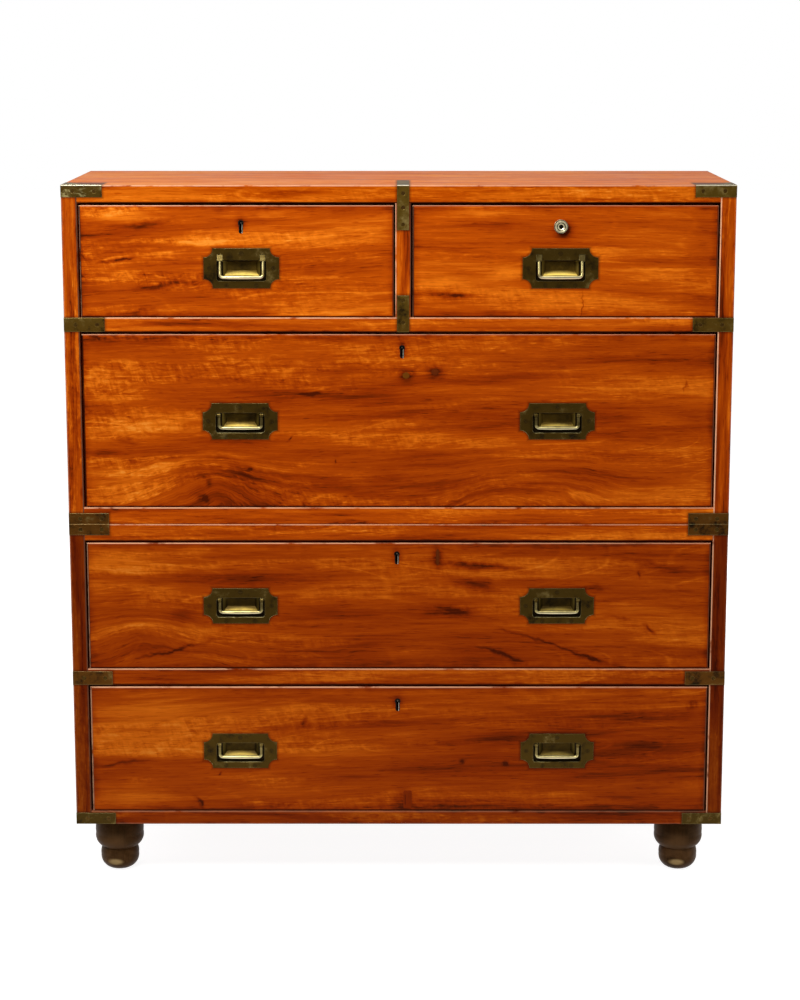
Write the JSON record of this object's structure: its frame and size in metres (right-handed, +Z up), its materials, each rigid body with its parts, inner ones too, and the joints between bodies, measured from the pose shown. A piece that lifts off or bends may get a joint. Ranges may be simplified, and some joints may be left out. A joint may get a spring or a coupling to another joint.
{
  "type": "campaign chest",
  "caption": "Two-part wooden campaign chest on turned feet: short, deep and long drawers with flush brass pulls, corner straps and locks; the upper case lifts off.",
  "frame": {"origin": "on the floor under the middle of the chest", "axes": "+X to the viewer's right facing the drawers, +Y from the front to the back, +Z up"},
  "size_m": [0.9912, 0.366, 1.0643],
  "materials": {
    "case_wood": "polished orange-brown hardwood",
    "front_wood": "polished figured orange-brown hardwood",
    "lining_wood": "bare planed wood",
    "back_wood": "rubbed unpolished wood",
    "foot_wood": "dark polished turned wood",
    "plate_brass": "dark olive-brown patina",
    "bail_brass": "worn bright",
    "lock_steel": "dull filed"
  },
  "bodies": {
    "lower_case": {"lower_bottom": "case_wood", "lower_top": "case_wood", "lower_left_side": "case_wood", "lower_right_side": "case_wood", "lower_back": "back_wood", "lower_rail": "case_wood", "lower_runners": "back_wood", "locating_pegs": "back_wood", "feet": "foot_wood", "lower_side_handle_plates": "plate_brass", "lower_brass_straps": "plate_brass", "lower_brass_screws": "plate_brass"},
    "upper_case": {"upper_bottom": "case_wood", "upper_top": "case_wood", "upper_left_side": "case_wood", "upper_right_side": "case_wood", "upper_back": "back_wood", "upper_rail": "case_wood", "upper_divider": "case_wood", "upper_runners": "back_wood", "upper_side_handle_plates": "plate_brass", "upper_brass_straps": "plate_brass", "upper_brass_screws": "plate_brass"},
    "short_left_drawer": {"short_left_drawer_front": "front_wood", "short_left_drawer_box": "lining_wood", "short_left_drawer_bottom": "lining_wood", "short_left_drawer_brass": "plate_brass"},
    "short_left_drawer_bail": {"short_left_drawer_bail": "bail_brass"},
    "short_left_drawer_lock_bolt": {"short_left_drawer_lock_bolt": "lock_steel"},
    "short_right_drawer": {"short_right_drawer_front": "front_wood", "short_right_drawer_box": "lining_wood", "short_right_drawer_bottom": "lining_wood", "short_right_drawer_brass": "plate_brass"},
    "short_right_drawer_bail": {"short_right_drawer_bail": "bail_brass"},
    "short_right_drawer_lock_bolt": {"short_right_drawer_lock_bolt": "lock_steel"},
    "deep_drawer": {"deep_drawer_front": "front_wood", "deep_drawer_box": "lining_wood", "deep_drawer_bottom": "lining_wood", "deep_drawer_brass": "plate_brass"},
    "deep_drawer_left_bail": {"deep_drawer_left_bail": "bail_brass"},
    "deep_drawer_right_bail": {"deep_drawer_right_bail": "bail_brass"},
    "deep_drawer_lock_bolt": {"deep_drawer_lock_bolt": "lock_steel"},
    "middle_drawer": {"middle_drawer_front": "front_wood", "middle_drawer_box": "lining_wood", "middle_drawer_bottom": "lining_wood", "middle_drawer_brass": "plate_brass"},
    "middle_drawer_left_bail": {"middle_drawer_left_bail": "bail_brass"},
    "middle_drawer_right_bail": {"middle_drawer_right_bail": "bail_brass"},
    "middle_drawer_lock_bolt": {"middle_drawer_lock_bolt": "lock_steel"},
    "bottom_drawer": {"bottom_drawer_front": "front_wood", "bottom_drawer_box": "lining_wood", "bottom_drawer_bottom": "lining_wood", "bottom_drawer_brass": "plate_brass"},
    "bottom_drawer_left_bail": {"bottom_drawer_left_bail": "bail_brass"},
    "bottom_drawer_right_bail": {"bottom_drawer_right_bail": "bail_brass"},
    "bottom_drawer_lock_bolt": {"bottom_drawer_lock_bolt": "lock_steel"},
    "upper_left_side_bail": {"upper_left_side_bail": "bail_brass"},
    "upper_right_side_bail": {"upper_right_side_bail": "bail_brass"},
    "lower_left_side_bail": {"lower_left_side_bail": "bail_brass"},
    "lower_right_side_bail": {"lower_right_side_bail": "bail_brass"}
  },
  "joints": [
    {"name": "upper_case_lift", "type": "slide", "parent": "lower_case", "child": "upper_case", "axis": [0, 0, 1], "range_m": [0, 0.15]},
    {"name": "short_left_drawer_slide", "type": "slide", "parent": "upper_case", "child": "short_left_drawer", "axis": [0, -1, 0], "range_m": [0, 0.2]},
    {"name": "short_left_drawer_bail_swing", "type": "hinge", "parent": "short_left_drawer", "child": "short_left_drawer_bail", "pos_m": [-0.2318, -0.1761, 0.95695], "axis": [-1, 0, 0], "range_deg": [-14, 76]},
    {"name": "short_left_drawer_lock_bolt_throw", "type": "slide", "parent": "short_left_drawer", "child": "short_left_drawer_lock_bolt", "axis": [0, 0, 1], "range_m": [0, 0.009]},
    {"name": "short_right_drawer_slide", "type": "slide", "parent": "upper_case", "child": "short_right_drawer", "axis": [0, -1, 0], "range_m": [0, 0.2]},
    {"name": "short_right_drawer_bail_swing", "type": "hinge", "parent": "short_right_drawer", "child": "short_right_drawer_bail", "pos_m": [0.2383, -0.1761, 0.95695], "axis": [-1, 0, 0], "range_deg": [-14, 76]},
    {"name": "short_right_drawer_lock_bolt_throw", "type": "slide", "parent": "short_right_drawer", "child": "short_right_drawer_lock_bolt", "axis": [0, 0, 1], "range_m": [0, 0.009]},
    {"name": "deep_drawer_slide", "type": "slide", "parent": "upper_case", "child": "deep_drawer", "axis": [0, -1, 0], "range_m": [0, 0.2]},
    {"name": "deep_drawer_left_bail_swing", "type": "hinge", "parent": "deep_drawer", "child": "deep_drawer_left_bail", "pos_m": [-0.2363, -0.1761, 0.72335], "axis": [-1, 0, 0], "range_deg": [0, 90]},
    {"name": "deep_drawer_right_bail_swing", "type": "hinge", "parent": "deep_drawer", "child": "deep_drawer_right_bail", "pos_m": [0.2363, -0.1761, 0.72335], "axis": [-1, 0, 0], "range_deg": [0, 90]},
    {"name": "deep_drawer_lock_bolt_throw", "type": "slide", "parent": "deep_drawer", "child": "deep_drawer_lock_bolt", "axis": [0, 0, 1], "range_m": [0, 0.009]},
    {"name": "middle_drawer_slide", "type": "slide", "parent": "lower_case", "child": "middle_drawer", "axis": [0, -1, 0], "range_m": [0, 0.2]},
    {"name": "middle_drawer_left_bail_swing", "type": "hinge", "parent": "middle_drawer", "child": "middle_drawer_left_bail", "pos_m": [-0.239, -0.1761, 0.44085], "axis": [-1, 0, 0], "range_deg": [0, 90]},
    {"name": "middle_drawer_right_bail_swing", "type": "hinge", "parent": "middle_drawer", "child": "middle_drawer_right_bail", "pos_m": [0.239, -0.1761, 0.44085], "axis": [-1, 0, 0], "range_deg": [0, 90]},
    {"name": "middle_drawer_lock_bolt_throw", "type": "slide", "parent": "middle_drawer", "child": "middle_drawer_lock_bolt", "axis": [0, 0, 1], "range_m": [0, 0.009]},
    {"name": "bottom_drawer_slide", "type": "slide", "parent": "lower_case", "child": "bottom_drawer", "axis": [0, -1, 0], "range_m": [0, 0.2]},
    {"name": "bottom_drawer_left_bail_swing", "type": "hinge", "parent": "bottom_drawer", "child": "bottom_drawer_left_bail", "pos_m": [-0.242, -0.1761, 0.21335], "axis": [-1, 0, 0], "range_deg": [0, 90]},
    {"name": "bottom_drawer_right_bail_swing", "type": "hinge", "parent": "bottom_drawer", "child": "bottom_drawer_right_bail", "pos_m": [0.242, -0.1761, 0.21335], "axis": [-1, 0, 0], "range_deg": [0, 90]},
    {"name": "bottom_drawer_lock_bolt_throw", "type": "slide", "parent": "bottom_drawer", "child": "bottom_drawer_lock_bolt", "axis": [0, 0, 1], "range_m": [0, 0.009]},
    {"name": "upper_left_side_bail_swing", "type": "hinge", "parent": "upper_case", "child": "upper_left_side_bail", "pos_m": [-0.4926, 0, 0.8672], "axis": [0, 1, 0], "range_deg": [0, 90]},
    {"name": "upper_right_side_bail_swing", "type": "hinge", "parent": "upper_case", "child": "upper_right_side_bail", "pos_m": [0.4926, 0, 0.8672], "axis": [0, -1, 0], "range_deg": [0, 90]},
    {"name": "lower_left_side_bail_swing", "type": "hinge", "parent": "lower_case", "child": "lower_left_side_bail", "pos_m": [-0.4926, 0, 0.3872], "axis": [0, 1, 0], "range_deg": [0, 90]},
    {"name": "lower_right_side_bail_swing", "type": "hinge", "parent": "lower_case", "child": "lower_right_side_bail", "pos_m": [0.4926, 0, 0.3872], "axis": [0, -1, 0], "range_deg": [0, 90]}
  ]
}
